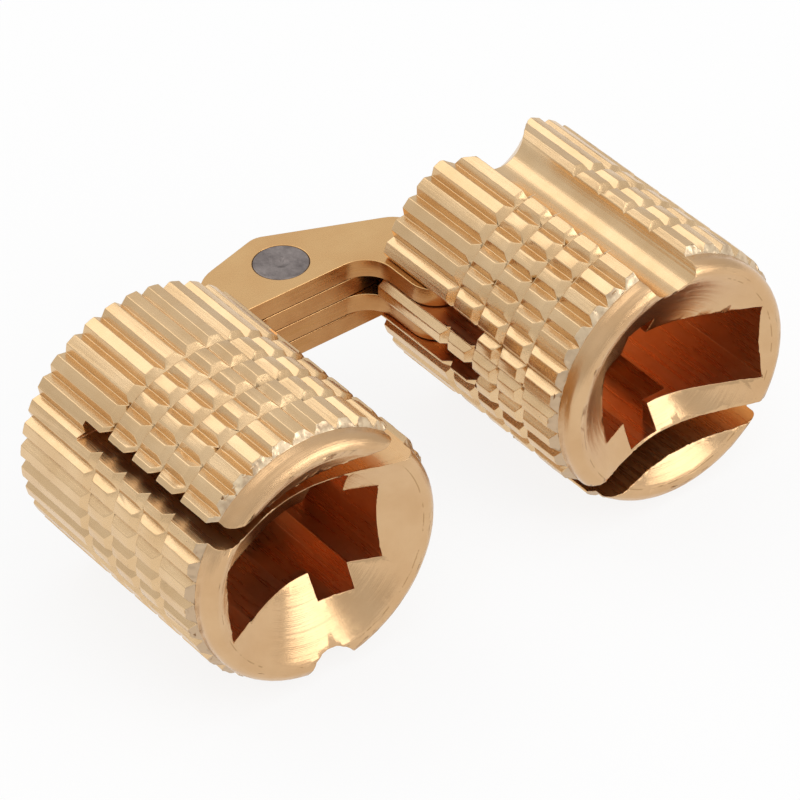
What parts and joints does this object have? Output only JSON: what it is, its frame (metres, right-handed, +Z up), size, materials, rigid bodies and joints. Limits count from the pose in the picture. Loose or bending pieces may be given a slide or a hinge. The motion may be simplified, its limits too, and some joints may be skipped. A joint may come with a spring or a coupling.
{
  "type": "invisible barrel hinge",
  "caption": "Invisible furniture hinge of knurled brass barrels joined by pinned links that fold inside the barrels as their mouths close together.",
  "frame": {"origin": "on the surface the open hinge lies on, under the middle of its bounding box, midway between the barrels", "axes": "+X from the left barrel to the right one, +Y out of the barrels' mouths, +Z up along the pins"},
  "size_m": [0.0302, 0.0178, 0.012],
  "materials": {
    "barrel_brass": "satin, as turned and knurled",
    "link_brass": "satin, stamped",
    "pin_steel": "dull grey"
  },
  "bodies": {
    "left_barrel": {"left_barrel": "barrel_brass", "left_pivot_pin": "pin_steel"},
    "left_links": {"left_link_upper": "link_brass", "left_link_lower": "link_brass", "right_slider_pin": "pin_steel"},
    "right_links": {"right_link_upper": "link_brass", "right_link_lower": "link_brass", "centre_pin": "pin_steel", "left_slider_pin": "pin_steel"},
    "right_barrel": {"right_barrel": "barrel_brass", "right_pivot_pin": "pin_steel"}
  },
  "joints": [
    {"name": "left_pivot", "type": "hinge", "parent": "left_barrel", "child": "left_links", "pos_m": [-0.00476, 0.00203, 0.006], "axis": [0, 0, 1], "range_deg": [0, 115.29]},
    {"name": "centre_pivot", "type": "hinge", "parent": "left_links", "child": "right_links", "pos_m": [0, 0.00673, 0.006], "axis": [0, 0, 1], "range_deg": [-50.58, 0]},
    {"name": "right_pivot", "type": "hinge", "parent": "right_links", "child": "right_barrel", "pos_m": [0.00476, 0.00203, 0.006], "axis": [0, 0, 1], "range_deg": [0, 115.29]}
  ],
  "couplings": [
    {"joint": "centre_pivot", "follows": "left_pivot", "ratio": -0.43876},
    {"joint": "right_pivot", "follows": "left_pivot", "ratio": 1}
  ]
}
